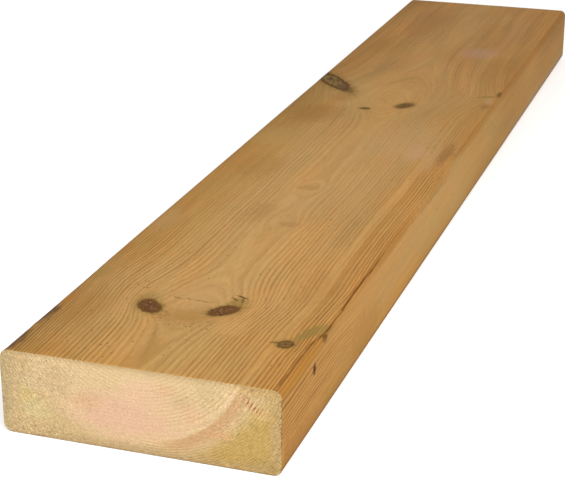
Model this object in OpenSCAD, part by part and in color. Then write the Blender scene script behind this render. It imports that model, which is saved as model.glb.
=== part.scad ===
// Softwood plank: one length of planed timber with rounded long edges and square-sawn ends.
// It lies flat on a wide face. X runs across the width, Y along the grain and Z up.
// The origin is the middle of the face that it lies on.

/* [Plank] */
// Width of the plank, across the grain
plank_width = 145; // [75:1:300]
// Thickness of the plank, between its two wide faces
plank_thickness = 45; // [20:1:100]
// Length of the plank, between its two sawn ends
plank_length = 800; // [300:10:6000]

/* [Arrises] */
// Radius of the rounding planed along each of the four long edges
arris_radius = 5; // [1:0.5:9]

/* [Hidden] */
// Sides of a full circle, for the arris rounds
arris_sides = 96;
// Flat left on the wide faces and on the narrow edges, between the arris rounds
flat_width = plank_width - 2 * arris_radius;
flat_thickness = plank_thickness - 2 * arris_radius;

// Sawn and planed section: a rectangle with four round corners, centred on the origin
module plank_section() {
    square([plank_width, flat_thickness], center = true);
    square([flat_width, plank_thickness], center = true);
    for (side = [-1, 1], face = [-1, 1])
        translate([side * flat_width / 2, face * flat_thickness / 2])
            circle(r = arris_radius, $fn = arris_sides);
}

// The plank itself: the section run along Y, with its lower wide face on the XY plane
module plank() {
    color("burlywood")
        translate([0, 0, plank_thickness / 2])
            rotate([90, 0, 0])
                linear_extrude(height = plank_length, center = true)
                    plank_section();
}

plank();
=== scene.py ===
import math

import bmesh
import bpy
from mathutils import Matrix, Vector


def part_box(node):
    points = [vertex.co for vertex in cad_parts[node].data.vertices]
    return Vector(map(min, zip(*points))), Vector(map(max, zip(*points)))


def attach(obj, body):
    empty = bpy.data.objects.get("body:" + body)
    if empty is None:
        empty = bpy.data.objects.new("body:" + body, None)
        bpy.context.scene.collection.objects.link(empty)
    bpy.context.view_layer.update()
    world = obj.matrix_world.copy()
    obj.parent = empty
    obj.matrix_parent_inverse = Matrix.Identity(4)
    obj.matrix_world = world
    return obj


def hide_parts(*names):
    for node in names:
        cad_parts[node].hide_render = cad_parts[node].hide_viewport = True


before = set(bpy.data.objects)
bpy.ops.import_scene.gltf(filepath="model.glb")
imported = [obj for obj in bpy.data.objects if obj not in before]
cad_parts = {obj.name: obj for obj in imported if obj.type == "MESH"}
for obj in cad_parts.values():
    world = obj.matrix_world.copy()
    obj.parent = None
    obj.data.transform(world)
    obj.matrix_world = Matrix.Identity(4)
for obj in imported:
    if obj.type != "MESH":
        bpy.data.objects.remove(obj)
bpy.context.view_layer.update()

# Timber plank: planed, treated pine with rounded arrises, two sawn ends and the knots of two whorls.
# Patterns are worked out in millimetres: x across, y along from the near end, z up from the lower face.

scene = bpy.context.scene
scene.view_settings.view_transform = "Standard"
low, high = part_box("plank")
plankSize = high - low
perMetre = 1000.0  # millimetres in a metre
topFace = plankSize.z * perMetre
rightFace = plankSize.x * perMetre / 2
nearEnd = plankSize.y * perMetre / 2  # from the origin
vectorSocket, numberSocket, shapeSocket = "NodeSocketVector", "NodeSocketFloat", "NodeSocketGeometry"


def paint(red, green, blue):  # a colour as a picture editor shows it, made linear
    linear = []
    for level in (red, green, blue):
        share = level / 255
        linear.append(share / 12.92 if share <= 0.04045 else ((share + 0.055) / 1.055) ** 2.4)
    return (*linear, 1.0)


def addObject(name, data):
    added = bpy.data.objects.new(name, data)
    scene.collection.objects.link(added)
    return added


# Node helpers: a Wire is a socket that can stand in a formula, and each sign adds one math node
class Wire:
    def __init__(self, tree, socket):
        self.tree = tree
        self.socket = socket


def addNode(tree, nodeType, **settings):
    node = tree.nodes.new(nodeType)
    for name, value in settings.items():
        setattr(node, name, value)
    return node


def plug(tree, value, socket):
    if isinstance(value, Wire):
        tree.links.new(value.socket, socket)
    else:
        socket.default_value = value


def wireNode(tree, node, values, output=0):
    for value, socket in zip(values, node.inputs):
        plug(tree, value, socket)
    return Wire(tree, node.outputs[output])


def calc(tree, operation, *values):
    return wireNode(tree, addNode(tree, "ShaderNodeMath", operation=operation), values)


signs = {"add": "ADD", "sub": "SUBTRACT", "mul": "MULTIPLY", "truediv": "DIVIDE", "pow": "POWER"}
for sign, operation in signs.items():
    setattr(Wire, f"__{sign}__", lambda a, b, op=operation: calc(a.tree, op, a, b))
    setattr(Wire, f"__r{sign}__", lambda a, b, op=operation: calc(a.tree, op, b, a))


def nearest(first, second):
    return calc(first.tree, "MINIMUM", first, second)


def strongest(first, second):
    return calc(first.tree, "MAXIMUM", first, second)


def vectorCalc(operation, first, *others):
    node = addNode(first.tree, "ShaderNodeVectorMath", operation=operation)
    output = "Value" if operation in ("DOT_PRODUCT", "LENGTH") else "Vector"
    return wireNode(first.tree, node, (first, *others), output)


def split(vector):
    node = addNode(vector.tree, "ShaderNodeSeparateXYZ")
    plug(vector.tree, vector, node.inputs[0])
    return [Wire(vector.tree, socket) for socket in node.outputs]


def join(tree, *values):
    return wireNode(tree, addNode(tree, "ShaderNodeCombineXYZ"), values)


def ramp(value, low, high, least=0.0, most=1.0):  # eases from least to most as value goes from low to high
    node = addNode(value.tree, "ShaderNodeMapRange", interpolation_type="SMOOTHSTEP")
    return wireNode(value.tree, node, (value, low, high, least, most))


def within(place, zone):  # multiplies the ramps that a zone names across, along and up the board
    inside = None
    for axis, value in zip(("across", "along", "up"), split(place)):
        for limits in zone.get(axis, ()):
            part = ramp(value, *limits)
            inside = inside * part if inside else part
    return inside


def bell(value, width):  # 1 where value is 0, falling away over width
    return calc(value.tree, "EXPONENT", (value / width) ** 2.0 * -1.0)


def hump(value, middle, width):  # a bell about another middle
    return bell(value - middle, width)


def mottle(place, lump, detail=2.0, roughness=0.5):  # noise about 0.5, with lumps of that size in mm
    node = addNode(place.tree, "ShaderNodeTexNoise")
    plug(place.tree, vectorCalc("DIVIDE", place, lump), node.inputs["Vector"])
    node.inputs["Scale"].default_value = 1.0
    node.inputs["Detail"].default_value = detail
    node.inputs["Roughness"].default_value = roughness
    return Wire(place.tree, node.outputs[0])


def sway(place, lump, detail=2.0, roughness=0.5):  # the same noise, about 0
    return mottle(place, lump, detail, roughness) - 0.5


def blob(place, at, size, turn=0.0):  # distance from a spot, in sizes of it
    offset = vectorCalc("SUBTRACT", place, at)
    if turn:
        node = addNode(place.tree, "ShaderNodeVectorRotate", rotation_type="Z_AXIS")
        plug(place.tree, offset, node.inputs["Vector"])
        node.inputs["Angle"].default_value = math.radians(-turn)
        offset = Wire(place.tree, node.outputs[0])
    return vectorCalc("LENGTH", vectorCalc("DIVIDE", offset, size))


def blend(amount, under, over):
    tree = amount.tree
    node = addNode(tree, "ShaderNodeMix", data_type="RGBA")
    plug(tree, amount, node.inputs[0])
    plug(tree, under, node.inputs[6])  # the colour sockets follow those for numbers and vectors
    plug(tree, over, node.inputs[7])
    return Wire(tree, node.outputs[2])


def scaled(colour, factor):
    return vectorCalc("MULTIPLY", colour, factor)


def tinted(amount, colour, factor):  # scales a colour as far as the amount says
    return blend(amount, colour, scaled(colour, factor))


def patch(at, size, colour, amount, turn=0):  # a soft spot of colour, turned by some degrees
    return {"at": at, "size": size, "colour": colour, "amount": amount, "turn": turn}


def addPatches(place, colour, patches, edge, ragged):
    for spot in patches:
        reach = blob(place, spot["at"], spot["size"], spot["turn"]) + ragged
        colour = blend(ramp(reach, *edge) * spot["amount"], colour, spot["colour"])
    return colour


def newGroup(name, treeType, inputs, outputs):
    tree = bpy.data.node_groups.new(name, treeType)
    for way, sockets in (("INPUT", inputs), ("OUTPUT", outputs)):
        for label, socketType in sockets.items():
            tree.interface.new_socket(label, in_out=way, socket_type=socketType)
    source = addNode(tree, "NodeGroupInput")
    sink = addNode(tree, "NodeGroupOutput")
    return tree, {label: Wire(tree, source.outputs[label]) for label in inputs}, sink


def placeGroup(tree, group, values):
    kinds = {"ShaderNodeTree": "ShaderNodeGroup", "GeometryNodeTree": "GeometryNodeGroup"}
    node = addNode(tree, kinds[tree.bl_idname], node_tree=group)
    for label, value in values.items():
        plug(tree, value, node.inputs[label])
    return {socket.name: Wire(tree, socket) for socket in node.outputs}


# How the tree grew: pith line, ring widths, whorls and branches
growth = {
    "pithHeight": 62,  # the pith lies above the upper face, over its middle
    "pithWander": (4, 3),  # across and up
    "wanderStarts": (0, 37),
    "wanderLength": 190,
    "middle": (-12, 12),
    "flatness": (0.643, 0.75),  # the rings are wider than they are high, most of all on the left
    "waveLump": (20, 110, 20),
    "waviness": 1.6,
    "wobbleLump": (4, 6, 4),
    "whorlEdge": (-1, 1),  # from below a whorl to above it
    "whorlWobble": 2,
    "coreWobble": 0.5,
    "coreLump": (1.6, 2, 1.6),
    "coreRaggedness": 0.4,
    "leastRadius": 1.5,
    "ringWidth": 1.84,
    "leftToRight": (-40, 40),
    "slowRadius": (44, 58),  # the tree grew more slowly beyond this, on the left and on the right
    "slowLaw": 0.05,
    "slowPower": 1.5,
    "wideRing": (46.8, 51.3),  # one pale, wide year on the right
    "yearLump": (9, 9, 9),
    "goodYears": 1.2,  # how uneven the rings are, in rings
    "raggedLump": (0.9, 8, 0.9),
    "raggedness": 0.35,
    "lateShare": 0.45,  # latewood's part of a ring
    "lateRise": (1.6, 0.35),  # where it starts to darken and is darkest, in such parts before the ring's end
    "lateFall": 0.3,  # and where it stops
    "lateChance": 0.4,  # how much of a ring's darkness is left to chance
    "streakLump": (1.3, 90, 80),
    "streakSpread": 4,
}

whorls = [  # the stem swells where a ring of branches leaves it
    {"level": 78, "lean": 0.8, "spread": (31, 33), "swell": 5.5, "fade": 45},
    {"level": 474, "lean": 0.8, "spread": (32, 60), "swell": 12, "fade": 55},
]

# Branches: centre on the surface, heading across and along, how steeply each dives, girth,
# reach back to its tip, and how far it pushes the rings outwards, in girths
branches = [
    {"centre": (-22.5, 69.6, 45), "heading": (-0.63, 0.77), "dive": 0.60,
     "girth": 5.4, "reach": 34, "push": 0.6},
    {"centre": (14.3, 75.8, 45), "heading": (0.66, 0.75), "dive": 0.58,
     "girth": 4.9, "reach": 30, "push": 0.6},
    {"centre": (57.6, 48.6, 45), "heading": (0.25, 0.97), "dive": 0.85,
     "girth": 3.7, "reach": 40, "push": 0.4},
    {"centre": (-56.4, 507, 45), "heading": (-0.62, 0.78), "dive": 0.26,
     "girth": 8, "reach": 130, "push": 0.4},
    {"centre": (9.6, 460.5, 45), "heading": (0.45, 0.89), "dive": 0.62,
     "girth": 4.4, "reach": 26, "push": 0.6},
    {"centre": (-14.8, 446.5, 45), "heading": (-0.99, -0.12), "dive": 0.75,
     "girth": 2.5, "reach": 24, "push": 0.6},
]
buds = [  # spots with no branch of their own where the rings still bend
    {"at": (-1, 271, 47), "size": (12, 13, 9), "push": 2.6},
    {"at": (7.5, 207, 47), "size": (12, 13, 9), "push": 2.6},
    {"at": (74, 500, 45), "size": (26, 24, 30), "push": 7},
]
branchForm = {
    "taper": 0.45,  # how fast a branch thickens outwards
    "tip": 0.002,  # the least part of its reach, so that it never ends in nothing
    "flow": 2.1,  # how far the grain bends round it, in girths
}


def makeBranchGroup(treeType):
    inputs = {"Place": vectorSocket, "Centre": vectorSocket, "Along": vectorSocket,
              "Girth": numberSocket, "Reach": numberSocket, "Push": numberSocket}
    outputs = {"Core": numberSocket, "Bend": numberSocket}
    tree, given, sink = newGroup("branch", treeType, inputs, outputs)
    offset = vectorCalc("SUBTRACT", given["Place"], given["Centre"])
    run = vectorCalc("DOT_PRODUCT", offset, given["Along"])
    onAxis = vectorCalc("MULTIPLY", given["Along"], run)
    gap = vectorCalc("LENGTH", vectorCalc("SUBTRACT", offset, onAxis))
    grown = strongest(run / given["Reach"] + 1.0, branchForm["tip"]) ** branchForm["taper"]
    core = gap / (given["Girth"] * grown)
    bend = bell(core, branchForm["flow"]) * given["Girth"] * given["Push"]
    plug(tree, core, sink.inputs["Core"])
    plug(tree, bend, sink.inputs["Bend"])
    return tree


def makeGrowthGroup(treeType):
    outputs = dict.fromkeys(("Late", "Streak", "Radius", "Core"), numberSocket)
    tree, given, sink = newGroup("growth", treeType, {"Place": vectorSocket}, outputs)
    branchGroup = makeBranchGroup(treeType)
    place = given["Place"]
    x, y, z = split(place)

    # Rings about the pith
    wanders = []
    wanderLength = growth["wanderLength"]
    for start, reach in zip(growth["wanderStarts"], growth["pithWander"]):
        wander = sway(join(tree, y + start * wanderLength, 0.0, 0.0), (wanderLength,) * 3)
        wanders.append(wander * (2.0 * reach))
    aside = x - wanders[0]
    above = z - growth["pithHeight"] - wanders[1]
    flatness = ramp(aside, *growth["middle"], *growth["flatness"])
    radius = (aside * aside * flatness + above * above) ** 0.5
    radius = radius + sway(place, growth["waveLump"], detail=3.0) * growth["waviness"]
    wobble = sway(place, growth["wobbleLump"], detail=3.0)

    # Whorls, branches and buds bend them
    bent, swollen = radius, None
    outward = radius - (growth["pithHeight"] - topFace)
    for whorl in whorls:
        level = y - whorl["level"] - outward * whorl["lean"]
        fade = calc(tree, "EXPONENT", outward / -whorl["fade"])
        swell = bell(level, ramp(level, *growth["whorlEdge"], *whorl["spread"])) * fade
        bent = bent - swell * whorl["swell"]
        swollen = swollen + swell if swollen else swell
    bent = bent + wobble * swollen * growth["whorlWobble"]
    core = None
    for branch in branches:
        level = math.sqrt(1 - branch["dive"] ** 2)
        across, along = Vector(branch["heading"]).normalized() * level
        knot = placeGroup(tree, branchGroup, {
            "Place": place, "Centre": branch["centre"], "Along": (across, along, -branch["dive"]),
            "Girth": branch["girth"], "Reach": branch["reach"], "Push": branch["push"]})
        bent = bent - knot["Bend"]
        core = nearest(core, knot["Core"]) if core else knot["Core"]
    for bud in buds:
        bent = bent - bell(blob(place, bud["at"], bud["size"]), 1.0) * bud["push"]
    core = core + wobble * growth["coreWobble"] + sway(place, growth["coreLump"]) * growth["coreRaggedness"]
    bent = strongest(bent, growth["leastRadius"])

    # Years, each with pale early wood and dark late wood
    slow = strongest(bent - ramp(aside, *growth["leftToRight"], *growth["slowRadius"]), 0.0)
    inner, outer = growth["wideRing"]
    spared = (outer - inner) / growth["ringWidth"] - 1.0
    ring = bent / growth["ringWidth"] + slow ** growth["slowPower"] * growth["slowLaw"]
    ring = ring - ramp(bent, inner, outer) * ramp(aside, *growth["leftToRight"]) * spared
    ring = ring + mottle(join(tree, bent, 0.0, 0.0), growth["yearLump"]) * growth["goodYears"]
    ring = ring + sway(place, growth["raggedLump"]) * growth["raggedness"]
    count = calc(tree, "FLOOR", ring)
    phase = ring - count
    chance = addNode(tree, "ShaderNodeTexWhiteNoise", noise_dimensions="1D")
    plug(tree, count, chance.inputs["W"])
    strength = Wire(tree, chance.outputs[0]) * growth["lateChance"] + (1.0 - growth["lateChance"])
    share = growth["lateShare"]
    darkens, darkest = growth["lateRise"]
    rise = ramp(phase, 1.0 - share * darkens, 1.0 - share * darkest)
    fall = ramp(phase, 1.0 - share * growth["lateFall"], 1.0, 1.0, 0.0)
    alongRings = join(tree, bent, y, x * growth["streakSpread"])
    results = {
        "Late": rise * fall * strength,
        "Streak": mottle(alongRings, growth["streakLump"], detail=3.0, roughness=0.6),
        "Radius": bent, "Core": core}
    for label, wire in results.items():
        plug(tree, wire, sink.inputs[label])
    return tree


def placeInMillimetres(tree):  # object coordinates, measured from the near end
    coordinates = addNode(tree, "ShaderNodeTexCoord")
    mapping = addNode(tree, "ShaderNodeMapping")
    mapping.inputs["Location"].default_value = (0.0, nearEnd, 0.0)
    mapping.inputs["Scale"].default_value = (perMetre, perMetre, perMetre)
    tree.links.new(coordinates.outputs["Object"], mapping.inputs["Vector"])
    return Wire(tree, mapping.outputs[0])


def newMaterial(name):
    material = bpy.data.materials.new(name)
    material.use_nodes = True
    tree = material.node_tree
    return material, tree, tree.nodes["Principled BSDF"]


def dress(tree, shader, colour, height, settings):  # plugs in the colour, the shine and fine bumps
    plug(tree, colour, shader.inputs["Base Color"])
    shader.inputs["Roughness"].default_value = settings["roughness"]
    shader.inputs["Specular IOR Level"].default_value = settings["specular"]
    bump = addNode(tree, "ShaderNodeBump")
    bump.inputs["Strength"].default_value = settings["bumpStrength"]
    bump.inputs["Distance"].default_value = settings["bumpHeight"]
    plug(tree, height, bump.inputs["Height"])
    tree.links.new(bump.outputs[0], shader.inputs["Normal"])


growthShading = makeGrowthGroup("ShaderNodeTree")
print("grain: growth rings with", len(branches), "branches in", len(whorls), "whorls")

# Marks that are both coloured and cut into the surface
marks = {
    "crackLump": (6, 4, 6),
    "crackWidth": (0.022, 0.006),
    "crackedKnot": (1.1, 0.8),
    "shake": paint(100, 60, 20),  # a fine split along the right upper arris, with a jog in it
    "shakeAcross": (68.9, 70.7),
    "shakeJog": (48, 72),
    "shakeLump": (55, 55, 55),
    "shakeWander": 2.2,
    "shakeWidth": (0.85, 0.45),
    "shakeNarrows": (45, 75),
    "shakeGapLump": (4, 16, 4),
    "shakeGaps": (0.35, 0.5, 0.55, 1),
    "shakeZone": {"along": [(40, 75, 0.65, 1), (195, 150)], "up": [(40.5, 42.5)]},
    "bark": paint(98, 68, 46),
    "barkAmount": 0.8,
    "barkLump": (2.5, 9, 2.5),
    "barkRagged": 1.5,
    "barkEdge": (1.2, 0.5),
    "notchLump": (1.3, 1.3, 1.3),  # torn fibres round the rim of a sawn end, most of them on the right
    "notchRagged": 4,
    "notchAbove": 0.9,
    "notchGap": (2.9, 2.3),
}

bark = [  # patches of a dark strip left on the left upper arris
    {"at": (-70.5, 15, 44), "size": (4.6, 17, 5)},
    {"at": (-70.5, 47, 44), "size": (5, 15, 5)},
    {"at": (-72, 60, 43.5), "size": (3, 80, 4)},
]


def cracksAt(place, core):
    line = calc(place.tree, "ABSOLUTE", sway(place, marks["crackLump"]))
    return ramp(line, *marks["crackWidth"]) * ramp(core, *marks["crackedKnot"])


def shakeAt(place):
    x, y, _ = split(place)
    wander = sway(join(place.tree, y, 0.0, 0.0), marks["shakeLump"]) * marks["shakeWander"]
    width = ramp(y, *marks["shakeNarrows"], *marks["shakeWidth"])
    middle = ramp(y, *marks["shakeJog"], *marks["shakeAcross"]) + wander
    broken = ramp(mottle(place, marks["shakeGapLump"], detail=3.0), *marks["shakeGaps"])
    return bell(x - middle, width) * broken * within(place, marks["shakeZone"])


def barkAt(place):
    ragged = sway(place, marks["barkLump"], detail=3.0) * marks["barkRagged"]
    reach = None
    for strip in bark:
        distance = blob(place, strip["at"], strip["size"])
        reach = nearest(reach, distance) if reach else distance
    return ramp(reach + ragged, *marks["barkEdge"])


def notchesAt(place):
    x, _, z = split(place)
    gap = nearest(rightFace - x, topFace - z + marks["notchAbove"])
    return ramp(gap + mottle(place, marks["notchLump"]) * marks["notchRagged"], *marks["notchGap"])


# Planed faces: golden treated pine
planed = {
    "heartEarly": paint(200, 156, 95),
    "heartLate": paint(172, 126, 66),
    "outerEarly": paint(197, 149, 84),
    "outerLate": paint(147, 100, 44),
    "outerRadius": (22, 66),
    "narrowFaces": (70.5, 72.2),
    "roughness": 0.7,
    "specular": 0.08,
    "bumpStrength": 0.5,
    "bumpHeight": 0.0002,
}

# Where things show on the planed faces: ranges that each ease from 0 to 1, or between the two values given
onTop = (40, 43)
onRight = (20, 30)
rightArris = {"across": [(68.8, 70)], "up": [(39, 42)]}
zones = {
    "band": {"across": [onRight], "along": [(420, 300)]},
    "margin": {"across": [onRight], "along": [(400, 260)]},
    "stripe": {"across": [onRight], "along": [(40, 110), (400, 300)]},
    "darkBand": {"along": [(60, 160, 0.3, 0)]},
    "crispRings": {"along": [(30, 330, 1, 0.65), (460, 640, 1, 0.4)]},
    "faintLeft": {"across": [(-15, -42)], "along": [(130, 260), (560, 480, 0, 0.5)]},
    "plainAbove": {"up": [(30, 36)], "along": [(30, 100)]},
    "plainBeyond": {"along": [(90, 150)]},
    "plainFoot": {"up": [(22, 12, 0, 0.7)]},
    "nearArris": {**rightArris, "along": [(290, 210, 0, 0.6)]},
    "farArris": {**rightArris, "along": [(320, 380, 0, 0.7)]},
    "palest": {"along": [(40, 110), (430, 350)]},
    "farthest": {"along": [(450, 620)]},
    "nearRim": {"across": [(30, 0)], "along": [(22, 4)]},
    "leftGold": {"across": [(-28, -48)], "along": [(110, 150), (480, 430)]},
    "goldenFoot": {"up": [(20, 9)], "along": [(40, 90), (390, 290)]},
    "greyFoot": {"up": [(15, 6)], "along": [(450, 700)]},
    "wavy": {"across": [(-20, -16), (10, 4)], "up": [onTop]},
    "loop": {"across": [(-20, -15)], "up": [onTop]},
    "farKnots": {"along": [(200, 400)]},
    "rightKnot": {"across": [(40, 50)]},
    "lens": {"across": [(-36, -42)], "along": [(440, 460)]},
    "lensTip": {"across": [(-54, -46)]},
    "nearLeft": {"across": [(20, -5)], "along": [(75, 45, 0, 0.05)], "up": [onTop]},
    "top": {"up": [onTop]},
}

# Stains, greenish, brown and pale
stainEdge = {"lump": (3, 5, 3), "ragged": 1.6, "ease": (1.3, 0.4)}
stains = [
    # between and beside the near knots, and before them
    patch((19, 90, 45), (5, 7, 6), paint(148, 120, 58), 0.65, turn=-20),
    patch((18.5, 96, 45), (4.4, 0.8, 5), paint(70, 56, 24), 0.9, turn=-24),
    patch((15.2, 92.5, 45), (3.4, 0.7, 5), paint(84, 66, 30), 0.8, turn=-36),
    patch((20, 92, 45), (0.7, 3.4, 5), paint(84, 68, 30), 0.7, turn=12),
    patch((-26, 84, 45), (6, 7, 6), paint(172, 140, 82), 0.5),
    patch((0, 64, 45), (17, 9, 8), paint(178, 132, 70), 0.6),
    patch((-2, 92, 45), (13, 18, 8), paint(206, 160, 102), 0.6),
    patch((-3, 14, 45), (6, 26, 8), paint(182, 133, 70), 0.5),
    # along the left upper arris
    patch((-68, 68, 45), (4, 9, 6), paint(186, 120, 50), 0.5),
    patch((-66, 104, 45), (5, 11, 6), paint(168, 134, 70), 0.4),
    patch((-68, 142, 45), (4, 9, 6), paint(184, 122, 54), 0.5),
    # at two buds and between them
    patch((-2, 270, 45), (7, 5, 6), paint(164, 120, 66), 0.32, turn=12),
    patch((7.5, 205, 45), (7, 5, 6), paint(162, 118, 64), 0.32, turn=-8),
    patch((4, 236, 45), (5, 11, 6), paint(204, 160, 104), 0.5),
    # by the knot at the right, and along the right upper arris
    patch((65.6, 66, 44), (4.3, 15, 5), paint(150, 123, 61), 0.75, turn=-26),
    patch((64, 16, 45), (4, 26, 5), paint(200, 150, 82), 0.4),
    patch((53.5, 49.5, 45), (4.4, 1.3, 5), paint(96, 70, 32), 0.8, turn=10),
    patch((72, 68, 42.6), (1.6, 5, 2.2), paint(98, 66, 28), 1),
    patch((72.5, 48.8, 33.8), (4, 2.7, 3), paint(70, 38, 12), 1),
    patch((72, 30, 42), (3, 40, 3), paint(182, 126, 50), 0.6),
    patch((71.5, 205, 42.5), (3, 55, 3), paint(174, 120, 54), 0.5),
    patch((71.5, 300, 41), (3, 50, 3.5), paint(168, 116, 56), 0.5),
    # broad, soft patches
    patch((32, 385, 45), (24, 48, 8), paint(208, 166, 112), 0.5),
    patch((45, 357, 45), (9, 18, 8), paint(212, 164, 118), 0.5),
    patch((57.5, 348, 45), (4.8, 34, 6), paint(208, 166, 114), 0.4),
    patch((64, 360, 45), (4.5, 26, 6), paint(152, 106, 58), 0.55),
    patch((-54, 58, 45), (13, 24, 8), paint(176, 122, 56), 0.3),
    patch((-37, 68, 45), (7, 30, 8), paint(212, 166, 108), 0.35),
    patch((27, 58, 45), (8, 12, 8), paint(216, 166, 106), 0.35),
    patch((-14, 220, 45), (9, 20, 8), paint(166, 118, 58), 0.3),
    patch((-38, 471, 45), (10, 14, 8), paint(146, 104, 46), 0.3),
    patch((-45, 300, 45), (16, 28, 8), paint(174, 124, 58), 0.35),
    patch((-55, 362, 45), (18, 22, 8), paint(196, 156, 92), 0.5),
    patch((30, 285, 45), (13, 70, 8), paint(208, 162, 104), 0.3),
    patch((51, 116, 45), (10, 26, 8), paint(176, 118, 56), 0.3),
    patch((-46, 424, 45), (20, 24, 8), paint(160, 112, 50), 0.4),
    patch((-45, 625, 45), (22, 30, 8), paint(176, 120, 54), 0.22),
    patch((-32, 710, 45), (18, 70, 8), paint(150, 104, 58), 0.3),
    patch((-60, 795, 45), (18, 24, 8), paint(140, 102, 70), 0.2),
    patch((0, 730, 45), (8, 60, 8), paint(198, 154, 104), 0.35),
    patch((45, 700, 45), (8, 80, 8), paint(196, 152, 102), 0.35),
    patch((30, 785, 45), (9, 25, 8), paint(152, 100, 54), 0.22),
    # on the right narrow face
    patch((72.5, 755, 39), (4, 90, 10), paint(122, 84, 46), 0.25),
    patch((72.5, 140, 12), (5, 34, 16), paint(168, 118, 54), 0.35),
    patch((72.5, 20, 4), (5, 34, 12), paint(162, 112, 52), 0.5),
    # a pale patch at the left, then others round the far knots and beyond
    patch((-64, 190, 45), (8, 20, 6), paint(196, 160, 108), 0.35),
    patch((52, 580, 45), (11, 45, 8), paint(180, 124, 52), 0.3),
    patch((66, 478, 45), (3.5, 8, 5), paint(162, 108, 62), 0.5),
    patch((30, 625, 45), (16, 18, 8), paint(202, 152, 126), 0.5),
    patch((-44, 491, 45), (3.4, 4, 5), paint(108, 78, 62), 0.6, turn=38),
    patch((62, 503, 45), (9, 2, 5), paint(136, 110, 60), 0.5, turn=26),
    patch((69.4, 513, 44.5), (1.6, 9, 4), paint(112, 84, 42), 0.8),
    patch((66, 492, 45), (2.4, 9, 4), paint(202, 158, 110), 0.7),
]

# Fine lines between the two near knots: a wavy one, and a loop
whorlLines = {
    "wavyLevel": 85,
    "wavyLump": (7, 7, 7),
    "wavyHeight": 13,
    "wavyWidth": (0.9, 0.3),
    "wavyGaps": (-0.4, 0.2),
    "wavyAmount": 0.5,
    "loopAt": (-17, 62.5, 45),
    "loopSize": (6.5, 5, 5),
    "loopWidth": 0.17,
    "loopAmount": 0.6,
}


def addStains(place, ragged, colour):
    x, y, _ = split(place)
    colour = addPatches(place, colour, stains, stainEdge["ease"], ragged)
    wave = sway(join(place.tree, x, 0.0, 0.0), whorlLines["wavyLump"], detail=3.0) * whorlLines["wavyHeight"]
    wavy = ramp(calc(place.tree, "ABSOLUTE", y - whorlLines["wavyLevel"] - wave), *whorlLines["wavyWidth"])
    wavy = wavy * within(place, zones["wavy"]) * ramp(ragged, *whorlLines["wavyGaps"])
    colour = blend(wavy * whorlLines["wavyAmount"], colour, specks["colour"])
    loop = bell(blob(place, whorlLines["loopAt"], whorlLines["loopSize"]) - 1.0, whorlLines["loopWidth"])
    loop = loop * within(place, zones["loop"])
    return blend(loop * whorlLines["loopAmount"], colour, planed["heartLate"])


# Knots: greenish round about, dark inside, with pale specks, rims and cracks
knots = {
    "halo": paint(156, 122, 60),
    "haloRagged": 0.7,
    "haloEdge": (2, 0.9, 0, 0.6),
    "dark": paint(115, 73, 37),
    "green": paint(118, 86, 38),  # the far knots, and the one at the right
    "pale": paint(146, 108, 70),
    "speckLump": (1.4, 1.4, 1.4),
    "speckEdge": (0.52, 0.62),
    "speckedPart": (0.95, 0.6),
    "ring": (0.55, 0.16),  # a pale ring in the one at the right
    "ringAmount": 0.45,
    "lens": paint(154, 124, 72),  # the inside of the long knot at the left edge
    "lensPart": (0.8, 0.6),
    "lensTurns": 8,
    "lensLump": (1.4, 12, 1),
    "lensStreaks": (0.35, 0.6, 0.5, 1),
    "lensSpot": paint(102, 72, 40),
    "spotLump": (4, 7, 4),
    "spotEdge": (0.5, 0.58),
    "lensTip": paint(124, 90, 56),
    "softness": (300, 400, 0.15, 0.65),
    "lensSharpness": 0.8,
    "rim": paint(104, 74, 30),
    "rimWidth": 0.18,
    "rimFade": (300, 400, 0.7, 0.25),
    "lensRim": 0.7,
    "lensRimShift": 0.12,
    "crack": paint(56, 36, 20),
    "crackAmount": 0.7,
    "pithCrack": 0.22,
}


def addKnots(place, core, ragged, colour):
    _, y, _ = split(place)
    halo = ramp(core + ragged * knots["haloRagged"], *knots["haloEdge"])
    colour = blend(halo, colour, knots["halo"])
    atRight = within(place, zones["rightKnot"])
    tone = blend(strongest(within(place, zones["farKnots"]), atRight), knots["dark"], knots["green"])
    speckle = ramp(mottle(place, knots["speckLump"]), *knots["speckEdge"])
    speckle = speckle * ramp(core, *knots["speckedPart"])
    ringed = hump(core, *knots["ring"]) * atRight * knots["ringAmount"]
    tone = blend(strongest(speckle, ringed), tone, knots["pale"])
    inLens = within(place, zones["lens"])
    streaks = mottle(join(place.tree, core * knots["lensTurns"], y, 0.0), knots["lensLump"])
    lens = inLens * ramp(core, *knots["lensPart"]) * ramp(streaks, *knots["lensStreaks"])
    spotted = lens * ramp(mottle(place, knots["spotLump"]), *knots["spotEdge"])
    tone = blend(lens, tone, knots["lens"])
    tone = blend(spotted, tone, knots["lensSpot"])
    tone = blend(inLens * within(place, zones["lensTip"]), tone, knots["lensTip"])
    soft = ramp(y, *knots["softness"]) * (1.0 - inLens * knots["lensSharpness"])
    colour = blend(ramp(core, soft + 1.0, 1.0 - soft), colour, tone)
    rim = bell(core - 1.0 + inLens * knots["lensRimShift"], knots["rimWidth"])
    rim = rim * strongest(ramp(y, *knots["rimFade"]), inLens * knots["lensRim"])
    colour = blend(rim, colour, knots["rim"])
    cracks = strongest(cracksAt(place, core), bell(core, knots["pithCrack"]) * atRight)
    return blend(cracks * knots["crackAmount"], colour, knots["crack"])


# Specks: short dark marks along the grain, thickest in an arc before the near knots and beside the split
specks = {
    "colour": paint(96, 64, 28),
    "amount": 0.75,
    "spacing": (2.2, 2.8, 1),
    "size": 0.2,
    "edge": (1, 0.5),
    "anywhere": 0.007,
    "arcAcross": (-3, 26),  # middle and width
    "arcAlong": (52, 8),
    "arcCurve": 0.03,
    "arcShare": 0.55,
    "splitAcross": (71, 1.6),
    "splitAlong": (106, 24),
    "splitShare": 0.35,
}


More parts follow.
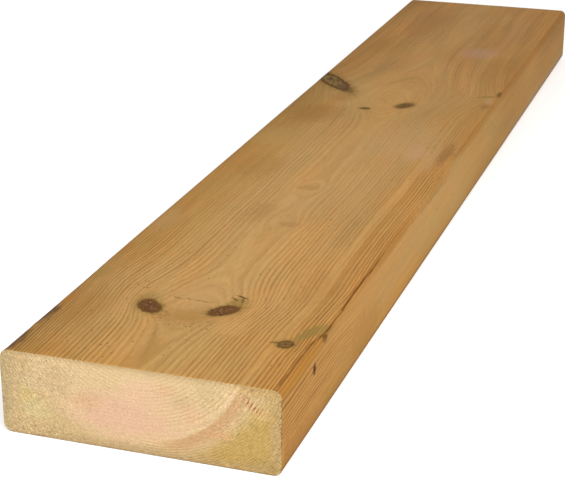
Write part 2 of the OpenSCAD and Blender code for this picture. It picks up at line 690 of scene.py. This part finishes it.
def addSpecks(place, colour):
    tree = place.tree
    x, y, z = split(place)
    arc = hump(y - x * x * specks["arcCurve"], *specks["arcAlong"]) * hump(x, *specks["arcAcross"])
    bySplit = hump(x, *specks["splitAcross"]) * hump(y, *specks["splitAlong"]) * within(place, zones["top"])
    share = arc * specks["arcShare"] + within(place, zones["nearLeft"])
    share = share + bySplit * specks["splitShare"] + specks["anywhere"]
    node = addNode(tree, "ShaderNodeTexVoronoi", voronoi_dimensions="2D")
    flat = vectorCalc("DIVIDE", join(tree, x + z, y, 0.0), specks["spacing"])
    plug(tree, flat, node.inputs["Vector"])
    node.inputs["Scale"].default_value = 1.0
    chance = split(Wire(tree, node.outputs["Color"]))
    radius = chance[1] * specks["size"] + specks["size"] / 2
    dot = ramp(Wire(tree, node.outputs["Distance"]) / radius, *specks["edge"])
    dot = dot * calc(tree, "LESS_THAN", chance[0], share)
    return blend(dot * specks["amount"], colour, specks["colour"])


# How strongly the rings show
rings = {
    "bandRadius": (51, 52.4),  # a band of strong rings beside the right upper arris
    "bandRagged": 3,
    "bandTone": 0.95,
    "margin": (49.5, 2.4),  # a pale margin inside it: radius and width
    "marginTone": 0.6,
    "stripe": (53, 1.5),  # a brown stripe along its inner edge
    "stripeRagged": 2,
    "stripeTone": 0.5,
    "overPith": (13, 27, 0.3, 1),  # faintest over the pith
    "plainTone": 0.8,  # and on most of the narrow faces
    "patchLump": (6, 60, 6),
    "patches": (0.25, 0.7, 0.6, 1.1),
}

faintSpots = [  # where the rings hardly show
    {"at": (8, 505, 45), "size": (38, 55, 40), "amount": 0.85},
    {"at": (-32, 455, 45), "size": (24, 36, 40), "amount": 0.45},
    {"at": (52, 530, 45), "size": (22, 50, 40), "amount": 0.3},
]

# How the colour drifts over the board: factors, and what they depend on
drifts = {
    "warm": (1.04, 0.975, 0.91),
    "cool": (0.985, 1, 0.99),
    "hueShift": (300, 0, 0),
    "hueLump": (20, 70, 20),
    "hueEdge": (0.35, 0.65),
    "band": (1, 0.95, 0.88),
    "bandAmount": 0.8,
    "stripe": (0.90, 0.85, 0.78),
    "arris": (0.78, 0.70, 0.58),
    "arrisStreaks": (-0.2, 0, 0.6, 1),
    "palest": (1.07, 1.075, 1.13),  # the middle of the board, and then its far part
    "farthest": (0.98, 0.93, 0.92),
    "nearRim": (0.97, 0.945, 0.85),
    "leftGold": (0.97, 0.96, 0.87),
    "leftShade": (-78, -20, 0.84, 1),
    "leftShift": (60, 180, 0, 12),
    "marginGlow": 0.09,
    "fibreLump": (0.5, 9, 0.5),
    "fibreShade": 0.5,
    "streakShade": 0.45,
    "crispness": (50, 400, 1.2, 0.8),
    "plainFibre": 0.4,
    "driftLump": (30, 130, 30),
    "driftShade": (380, 480, 0.25, 0.4),
    "broadLump": (5, 170, 60),
    "broadShade": (420, 600, 0, 0.5),
    "nearSidePaintedShade": (0.91, 0.90, 0.84),  # the narrow faces: painted shade near the near end, painted light towards the far end
    "farSidePaintedLight": (1.02, 1.09, 1.18),
    "sideFade": (10, 320),
    "footPaintedShade": (0, 12, 0.88, 1),  # their lower part: painted shade darker towards the foot, and a painted shadow along the lower arris; tints first warmer and then greyer
    "footShadowLine": (3.5, 7),
    "footShadowDepth": (300, 500, 0.6, 0.85),
    "goldenFoot": (0.98, 0.93, 0.76),
    "greyFoot": (1, 1.18, 1.75),
}


def makePlaned():
    material, tree, shader = newMaterial("planedPine")
    place = placeInMillimetres(tree)
    x, y, z = split(place)
    grain = placeGroup(tree, growthShading, {"Place": place})
    radius = grain["Radius"]
    streak = grain["Streak"] - 0.5
    narrow = ramp(calc(tree, "ABSOLUTE", x), *planed["narrowFaces"])
    wide = 1.0 - narrow

    # The rings
    band = ramp(radius + streak * rings["bandRagged"], *rings["bandRadius"])
    band = band * within(place, zones["band"]) * wide
    margin = hump(radius, *rings["margin"]) * within(place, zones["margin"]) * wide
    stripe = hump(radius + streak * rings["stripeRagged"], *rings["stripe"])
    stripe = stripe * within(place, zones["stripe"]) * wide
    fade = strongest(within(place, zones["crispRings"]), band * rings["bandTone"])
    faint = ramp(radius, *rings["overPith"]) * (1.0 - within(place, zones["faintLeft"]))
    for spot in faintSpots:
        faint = faint * (1.0 - bell(blob(place, spot["at"], spot["size"]), 1.0) * spot["amount"])
    plain = within(place, zones["plainAbove"]) + within(place, zones["plainBeyond"])
    plain = nearest(plain + within(place, zones["plainFoot"]), 1.0) * narrow
    patchy = ramp(mottle(place, rings["patchLump"]), *rings["patches"])
    tone = grain["Late"] * fade * faint * patchy * (band * within(place, zones["darkBand"]) + 1.0)
    tone = tone * (1.0 - plain * rings["plainTone"]) * (1.0 - margin * rings["marginTone"])
    tone = tone * (1.0 - stripe * rings["stripeTone"])
    outer = ramp(radius, *planed["outerRadius"])
    early = blend(outer, planed["heartEarly"], planed["outerEarly"])
    late = blend(outer, planed["heartLate"], planed["outerLate"])
    colour = blend(tone, early, late)

    # Colour drifts across and along the board, and fibres follow the bent rings
    hue = mottle(vectorCalc("ADD", place, drifts["hueShift"]), drifts["hueLump"])
    hue = ramp(hue, *drifts["hueEdge"])
    colour = blend(hue, scaled(colour, drifts["cool"]), scaled(colour, drifts["warm"]))
    colour = tinted(band * drifts["bandAmount"], colour, drifts["band"])
    colour = tinted(stripe, colour, drifts["stripe"])
    arris = within(place, zones["nearArris"]) + within(place, zones["farArris"])
    colour = tinted(arris * ramp(streak, *drifts["arrisStreaks"]), colour, drifts["arris"])
    for name in ("palest", "farthest", "nearRim", "leftGold"):
        colour = tinted(within(place, zones[name]), colour, drifts[name])
    across = ramp(x + ramp(y, *drifts["leftShift"]), *drifts["leftShade"]) + margin * drifts["marginGlow"]
    fibre = mottle(place, drifts["fibreLump"], detail=3.0, roughness=0.65)
    crisp = ramp(y, *drifts["crispness"]) * (1.0 - plain * drifts["plainFibre"])
    shade = ((fibre - 0.5) * drifts["fibreShade"] + streak * drifts["streakShade"]) * crisp
    shade = shade + sway(place, drifts["driftLump"]) * ramp(y, *drifts["driftShade"]) + 1.0
    broad = sway(join(tree, radius, y, x), drifts["broadLump"])
    shade = shade + broad * ramp(y, *drifts["broadShade"]) * wide
    colour = scaled(colour, shade * across)
    # painted light and shade on the narrow faces: darker near the near end, lighter and bluer towards the
    # far end
    farther = ramp(y, *drifts["sideFade"])
    side = blend(farther, scaled(colour, drifts["nearSidePaintedShade"]), scaled(colour, drifts["farSidePaintedLight"]))
    # painted shadow along the lower arris of the narrow faces, and painted shade darkening towards their
    # foot
    footShadowLine = ramp(z, *drifts["footShadowLine"], ramp(y, *drifts["footShadowDepth"]), 1.0)
    side = scaled(side, ramp(z, *drifts["footPaintedShade"]) * footShadowLine)
    for name in ("goldenFoot", "greyFoot"):
        side = tinted(within(place, zones[name]), side, drifts[name])
    colour = blend(narrow, colour, side)

    # Stains, then the knots, and last the marks on the surface
    ragged = sway(place, stainEdge["lump"], detail=3.0, roughness=0.6) * stainEdge["ragged"]
    colour = addStains(place, ragged, colour)
    colour = addKnots(place, grain["Core"], ragged, colour)
    colour = addSpecks(place, colour)
    colour = blend(shakeAt(place), colour, marks["shake"])
    colour = blend(barkAt(place) * marks["barkAmount"], colour, marks["bark"])
    dress(tree, shader, colour, fibre + tone, planed)
    print("planed faces: rings, knots and", len(stains), "stains")
    return material


# Sawn ends: pale, freshly cut wood, with pink heartwood inside greenish treated sapwood
sawn = {
    "heart": paint(231, 200, 153),
    "sap": paint(215, 185, 136),
    "sapEdge": (55, 66),  # distances from the pith, in round rings
    "sapRagged": 5,
    "band": paint(207, 163, 116),
    "bandInside": (53.9, 55.3),
    "bandOutside": (64, 57.5),
    "bandRagged": 3,
    "bandAmount": 0.85,
    "bandZone": {"across": [(2, 24)], "up": [(44, 34, 0.4, 1)]},
    "olive": paint(199, 166, 98),  # the right lower corner, beyond a slanting line
    "oliveAt": (53, 24.5),
    "oliveSlant": (0.69, -0.73),
    "oliveRagged": 6,
    "oliveEdge": (-6, 6),
    "tintDepth": 50,
    "tintRagged": 1.2,
    "tintEdge": (1.4, 0.3),
    "roughness": 0.85,
    "specular": 0.15,
    "bumpStrength": 0.5,
    "bumpHeight": 0.0004,
}

# What the saw left, the lines of the rings, and painted shade along the foot of the end
cut = {
    "cloudLump": (9, 9, 9),
    "fuzzLump": (0.28, 0.28, 0.28),
    "scratchLump": (14, 1, 0.7),
    "turnLength": 50,  # millimetres for one radian round the pith
    "dashLump": (0.32, 2.2, 1),
    "rayLump": (2.6, 0.32, 1),
    "fuzz": 1.3,
    "dashes": 0.8,
    "rays": 0.5,
    "scratches": 0.15,
    "clouds": 0.08,
    "line": (0.76, 0.72, 0.61),  # ring lines show best on the right
    "lineZones": [
        {"across": [(-5, 22, 0.3, 1)], "up": [(12, 30, 0.6, 1)]},
        {"across": [(0, -20, 0, 0.4)], "up": [(24, 34), (12, 30, 0.6, 1)]},
        {"across": [(-20, 15, 0.4, 0.9)], "up": [(12, 5)]},
    ],
    "bandLines": 0.5,
    "lineCloud": 0.5,
    "lineFuzz": (-0.3, 0.1),
    "lineGaps": (-0.2, 0.1, 0.45, 1),
    "red": paint(164, 74, 52),  # a slanting row of marks on the near end
    "redAt": (57.5, 34.8),
    "redSlant": (0.55, 0.83),
    "redWidth": 1.7,
    "redZone": {"across": [(51.5, 55), (66, 58.5)], "along": [(400, 300)]},
    "redRings": (0.25, 0.6, 0, 0.85),
    "middle": 4,  # saw fuzz is strongest towards both sides and the foot
    "rough": (16, 60, 0.75, 1.95),
    "roughFoot": (2, 9, 1.5, 1),
    "smoothOlive": (71, 66, 0, 0.35),
    "roughSpot": {"at": (45, 0, 18), "size": (8, 50, 5)},
    "spotAmount": 0.7,
    # painted shade along the foot of the end, where its lower rim turns from the light; the end also darkens
    # towards its upper edge
    "paintedFootShadeAndDarkTop": {"up": [(0, 1.6, 0.72, 1), (42, 45, 1, 0.87)]},
    "torn": paint(118, 84, 46),
    "tornAmount": 0.6,
}


def endPatch(at, size, colour, amount):  # a patch on the near end, with its places across and up
    return patch((at[0], 0, at[1]), (size[0], sawn["tintDepth"], size[1]), colour, amount)


heartTints = [
    endPatch((-8, 19), (30, 13), paint(231, 190, 155), 1),
    endPatch((4, 32), (14, 8), paint(235, 196, 158), 0.9),
    endPatch((-28, 24), (9, 5), paint(225, 181, 138), 0.7),
    endPatch((15, 35.5), (6, 3.5), paint(230, 186, 144), 0.6),
    endPatch((23, 31), (6, 5), paint(216, 186, 140), 0.7),
    endPatch((28, 25), (8, 6), paint(232, 189, 150), 0.7),
    endPatch((36, 36), (7, 9), paint(217, 189, 142), 0.8),
    endPatch((-43, 32), (9, 10), paint(214, 184, 138), 0.7),
    endPatch((48, 38), (3, 8), paint(234, 201, 157), 0.6),
]
sapTints = [
    endPatch((-54, 29), (9, 7), paint(222, 194, 148), 0.8),
    endPatch((-58, 22), (6, 5), paint(217, 190, 128), 0.8),
    endPatch((-53, 15), (9, 6), paint(220, 199, 146), 0.8),
    endPatch((-74, 22), (8, 40), paint(188, 166, 122), 0.7),
]
rightTints = [  # over the olive corner
    endPatch((62, 31), (5, 4), paint(228, 190, 132), 0.6),
    endPatch((73, 22), (7, 25), paint(194, 164, 116), 0.85),
    endPatch((66, 3), (12, 5), paint(184, 154, 100), 0.6),
]
rimTints = [  # over the whole end
    endPatch((42, 17), (7, 2.8), paint(224, 166, 120), 0.42),
    endPatch((0, 0), (70, 5), paint(192, 164, 120), 0.75),
    endPatch((0, 47), (90, 5), paint(206, 174, 122), 0.6),
    endPatch((62, 45), (16, 6), paint(200, 164, 104), 0.7),
]


def beyondLine(x, z, at, slant):  # how far a point on the end lies beyond a slanting line
    return (x - at[0]) * slant[0] + (z - at[1]) * slant[1]


def makeSawn():
    material, tree, shader = newMaterial("sawnPine")
    place = placeInMillimetres(tree)
    x, _, z = split(place)
    grain = placeGroup(tree, growthShading, {"Place": place})
    cloud = sway(place, cut["cloudLump"], detail=3.0)
    fuzz = sway(place, cut["fuzzLump"])
    scratch = sway(place, cut["scratchLump"])
    below = growth["pithHeight"] - z
    angle = calc(tree, "ARCTAN2", x, below)
    polar = join(tree, grain["Radius"], angle * cut["turnLength"], 0.0)
    dashes = sway(polar, cut["dashLump"])
    rays = sway(polar, cut["rayLump"])
    fromPith = (x * x + below * below) ** 0.5
    inSap = ramp(fromPith + cloud * sawn["sapRagged"], *sawn["sapEdge"])
    edge, ragged = sawn["tintEdge"], cloud * sawn["tintRagged"]
    heart = addPatches(place, sawn["heart"], heartTints, edge, ragged)
    sap = addPatches(place, sawn["sap"], sapTints, edge, ragged)
    corner = beyondLine(x, z, sawn["oliveAt"], sawn["oliveSlant"]) + cloud * sawn["oliveRagged"]
    olive = ramp(corner, *sawn["oliveEdge"])
    sap = addPatches(place, blend(olive, sap, sawn["olive"]), rightTints, edge, ragged)
    colour = blend(inSap, heart, sap)
    band = ramp(fromPith + cloud, *sawn["bandInside"])
    band = band * ramp(fromPith + cloud * sawn["bandRagged"], *sawn["bandOutside"])
    band = band * within(place, sawn["bandZone"])
    colour = blend(band * sawn["bandAmount"], colour, sawn["band"])
    colour = addPatches(place, colour, rimTints, edge, ragged)

    # Ring lines, red marks, saw fuzz, and painted shade along the foot of the end
    seen = None
    for zone in cut["lineZones"]:
        part = within(place, zone)
        seen = seen + part if seen else part
    seen = seen * (1.0 - band * cut["bandLines"])
    lines = grain["Late"] * ramp(fuzz + cloud * cut["lineCloud"], *cut["lineFuzz"])
    colour = tinted(lines * ramp(cloud, *cut["lineGaps"]) * seen, colour, cut["line"])
    reds = bell(beyondLine(x, z, cut["redAt"], cut["redSlant"]), cut["redWidth"])
    reds = reds * within(place, cut["redZone"]) * ramp(grain["Late"], *cut["redRings"])
    colour = blend(reds, colour, cut["red"])
    rough = ramp(calc(tree, "ABSOLUTE", x - cut["middle"]), *cut["rough"]) * ramp(z, *cut["roughFoot"])
    rough = rough * (1.0 - olive * ramp(x, *cut["smoothOlive"]))
    rough = rough + bell(blob(place, **cut["roughSpot"]), 1.0) * cut["spotAmount"]
    shade = (fuzz * cut["fuzz"] + dashes * cut["dashes"] + rays * cut["rays"]) * rough
    shade = shade + scratch * cut["scratches"] + cloud * cut["clouds"] + 1.0
    # painted shade along the foot of the end, and darker towards its upper edge
    colour = scaled(colour, shade * within(place, cut["paintedFootShadeAndDarkTop"]))
    colour = blend(notchesAt(place) * cut["tornAmount"], colour, cut["torn"])
    dress(tree, shader, colour, fuzz + scratch + dashes, sawn)
    print("sawn ends: heartwood, sapwood and saw marks")
    return material


# Relief, in millimetres: everything is cut below the nominal faces
relief = {
    "resting": 0.12,  # how far the planed faces lie below nominal
    "warp": 0.12,  # slow swellings along the board
    "warpLump": (45, 160, 45),
    "warpEdge": (0.25, 0.75),
    "grain": 0.05,  # latewood stands up, where the mesh is fine enough to show it
    "grainAcross": (36, 24),
    "knot": 0.08,  # and so do the knots
    "knotEdge": (1.2, 0.8),
    "crack": 0.40,
    "shake": 0.35,
    "bark": 0.30,
    "sawRest": 0.25,  # the sawn ends lie a little deeper
    "saw": 0.25,  # blade marks
    "sawLump": (60, 4, 2.6),
    "tear": 0.25,  # torn fibres
    "tearLump": (2.4, 2.4, 2.4),
    "notch": 0.50,
    "endFacing": (0.5, 0.9),
}


def makeRelief():
    shape = {"Geometry": shapeSocket}
    tree, given, sink = newGroup("relief", "GeometryNodeTree", shape, shape)
    mover = addNode(tree, "GeometryNodeSetPosition")
    position = Wire(tree, addNode(tree, "GeometryNodeInputPosition").outputs[0])
    normal = Wire(tree, addNode(tree, "GeometryNodeInputNormal").outputs[0])
    place = vectorCalc("MULTIPLY", position, (perMetre, perMetre, perMetre))
    place = vectorCalc("ADD", place, (0.0, nearEnd, 0.0))
    grain = placeGroup(tree, makeGrowthGroup("GeometryNodeTree"), {"Place": place})
    core = grain["Core"]
    warp = ramp(mottle(place, relief["warpLump"]), *relief["warpEdge"])
    planedHeight = warp * relief["warp"] - relief["warp"] - relief["resting"]
    wideGrain = ramp(calc(tree, "ABSOLUTE", split(place)[0]), *relief["grainAcross"])
    planedHeight = planedHeight + grain["Late"] * wideGrain * relief["grain"]
    planedHeight = planedHeight + ramp(core, *relief["knotEdge"]) * relief["knot"]
    planedHeight = planedHeight - cracksAt(place, core) * relief["crack"]
    planedHeight = planedHeight - shakeAt(place) * relief["shake"] - barkAt(place) * relief["bark"]
    saw = sway(place, relief["sawLump"]) * relief["saw"]
    tear = sway(place, relief["tearLump"]) * relief["tear"]
    sawnHeight = saw + tear - relief["sawRest"] - notchesAt(place) * relief["notch"]
    onEnd = ramp(calc(tree, "ABSOLUTE", split(normal)[1]), *relief["endFacing"])
    height = sawnHeight * onEnd + planedHeight * (1.0 - onEnd)
    plug(tree, given["Geometry"], mover.inputs["Geometry"])
    plug(tree, vectorCalc("MULTIPLY", normal, height * (1.0 / perMetre)), mover.inputs["Offset"])
    tree.links.new(mover.outputs[0], sink.inputs[0])
    return tree


# The plank itself
plankShape = {
    "cell": 0.001,  # grid of the sawn ends, and width of the strips along the plank
    "arris": 0.005,  # radius planed along the long edges
    "rim": 0.0004,  # wear round the sawn ends
    "runs": [(20, 12), (120, 56), (290, 40), (130, 56), (220, 34), (20, 12)],  # mm along, and rings in it
}


def roundCorners(bm, halfWidth, halfHeight, radius):  # turns the grid's square corners into quarter discs
    for vert in bm.verts:
        u = (abs(vert.co.x) - halfWidth + radius) / radius
        w = (abs(vert.co.z) - halfHeight + radius) / radius
        if u > 0 and w > 0:
            drawn = radius * max(u, w) / math.hypot(u, w)
            vert.co.x = math.copysign(halfWidth - radius + drawn * u, vert.co.x)
            vert.co.z = math.copysign(halfHeight - radius + drawn * w, vert.co.z)


def makePlank():
    cell = plankShape["cell"]
    rim = plankShape["rim"]
    bm = bmesh.new()
    columns, rows = round(plankSize.x / cell), round(plankSize.z / cell)
    bmesh.ops.create_grid(bm, x_segments=columns, y_segments=rows, size=0.5)
    bmesh.ops.scale(bm, vec=(plankSize.x, plankSize.z, 1.0), verts=bm.verts)
    bmesh.ops.rotate(bm, matrix=Matrix.Rotation(math.pi / 2, 3, "X"), verts=bm.verts)
    corners = [vert for vert in bm.verts if len(vert.link_edges) == 2]
    for vert in corners:  # an edge for the rim bevel to follow
        opposite = vert.link_loops[0].link_loop_next.link_loop_next.vert
        bmesh.ops.connect_verts(bm, verts=[vert, opposite])
    roundCorners(bm, plankSize.x / 2, plankSize.z / 2, plankShape["arris"])
    middle = (low + high) / 2
    bmesh.ops.translate(bm, vec=(middle.x, low.y, middle.z), verts=bm.verts)
    extruded = bmesh.ops.extrude_face_region(bm, geom=bm.faces[:])
    moved = [part for part in extruded["geom"] if isinstance(part, bmesh.types.BMVert)]
    bmesh.ops.translate(bm, vec=(0, plankSize.y, 0), verts=moved)
    bmesh.ops.recalc_face_normals(bm, faces=bm.faces)
    for face in bm.faces:
        face.material_index = 1 if abs(face.normal.y) > 0.5 else 0
        face.smooth = True
    rims = [edge for edge in bm.edges if len({face.material_index for face in edge.link_faces}) == 2]
    bmesh.ops.bevel(bm, geom=rims, affect="EDGES", offset=rim, segments=2, profile=0.5, material=-1)

    # Rings along the plank, closest where its knots are
    longEdges = [edge for edge in bm.edges if abs(edge.verts[0].co.y - edge.verts[1].co.y) > plankSize.y / 2]
    steps = sum(count for _, count in plankShape["runs"])
    divided = bmesh.ops.subdivide_edges(bm, edges=longEdges, cuts=steps - 1, use_grid_fill=True)
    stations = [0.0]
    for length, count in plankShape["runs"]:
        for _ in range(count):
            stations.append(stations[-1] + length / count)
    span = plankSize.y - 2 * rim
    for vert in divided["geom_inner"]:
        if isinstance(vert, bmesh.types.BMVert):
            step = round((vert.co.y - low.y - rim) / span * steps)
            vert.co.y = low.y + rim + span * stations[step] / stations[-1]
    mesh = bpy.data.meshes.new("plankBoard")
    bm.to_mesh(mesh)
    bm.free()
    mesh.materials.append(makePlaned())
    mesh.materials.append(makeSawn())
    board = addObject("plankBoard", mesh)
    modifier = board.modifiers.new("relief", "NODES")
    modifier.node_group = makeRelief()
    shaped = bpy.data.meshes.new_from_object(board.evaluated_get(bpy.context.evaluated_depsgraph_get()))
    board.modifiers.remove(modifier)
    board.data = shaped
    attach(board, "root")
    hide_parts("plank")
    print("plank:", len(shaped.polygons), "faces")


# Camera at the photograph's angle
cameraSetup = {
    "location": (0.2792, -1.0132, 0.3720),
    "turn": 18.63,  # degrees from the plank's length, towards its left
    "dip": 21.29,  # degrees below level
    "lens": 100.9,
    "sensor": 36,
}


def makeCamera():
    camera = bpy.data.cameras.new("camera")
    camera.lens = cameraSetup["lens"]
    camera.sensor_width = cameraSetup["sensor"]
    holder = addObject("camera", camera)
    holder.location = cameraSetup["location"]
    holder.rotation_euler = (math.radians(90 - cameraSetup["dip"]), 0, math.radians(cameraSetup["turn"]))
    scene.camera = holder
    print("camera: lens", cameraSetup["lens"], "mm")


# Soft studio: an even white room, one softbox over the near end and a pale floor
studio = {
    "white": (1, 1, 1, 1),
    "room": 0.5,
    "softbox": (0.55, -1, 0.75),
    "aim": (0, -0.35, 0.02),
    "softboxSize": 0.7,
    "softboxPower": 9.8,
    "floorSize": 12,
    "floorCells": 4,
    "floorColour": (0.85, 0.85, 0.85, 1),
    "floorLift": 0.5,  # brings the unshaded floor up to white in the picture
}


def seenByCamera(tree):
    return Wire(tree, addNode(tree, "ShaderNodeLightPath").outputs["Is Camera Ray"])


def makeStudio():
    world = bpy.data.worlds.new("studio")
    world.use_nodes = True
    scene.world = world
    tree = world.node_tree
    background = tree.nodes["Background"]
    background.inputs["Color"].default_value = studio["white"]
    strength = seenByCamera(tree) * (1.0 - studio["room"]) + studio["room"]
    plug(tree, strength, background.inputs["Strength"])
    lamp = bpy.data.lights.new("softbox", "AREA")
    lamp.size = studio["softboxSize"]
    lamp.energy = studio["softboxPower"]
    holder = addObject("softbox", lamp)
    holder.location = studio["softbox"]
    direction = Vector(studio["aim"]) - Vector(studio["softbox"])
    holder.rotation_euler = direction.to_track_quat("-Z", "Y").to_euler()
    bm = bmesh.new()
    cells = studio["floorCells"]
    bmesh.ops.create_grid(bm, x_segments=cells, y_segments=cells, size=studio["floorSize"] / 2)
    mesh = bpy.data.meshes.new("floor")
    bm.to_mesh(mesh)
    bm.free()
    floor = addObject("floor", mesh)
    material, tree, shader = newMaterial("floor")
    shader.inputs["Base Color"].default_value = studio["floorColour"]
    shader.inputs["Roughness"].default_value = 1.0
    shader.inputs["Specular IOR Level"].default_value = 0.0
    shader.inputs["Emission Color"].default_value = studio["white"]
    plug(tree, seenByCamera(tree) * studio["floorLift"], shader.inputs["Emission Strength"])
    mesh.materials.append(material)
    print("studio: white room, softbox and floor")


makeCamera()
makeStudio()
makePlank()
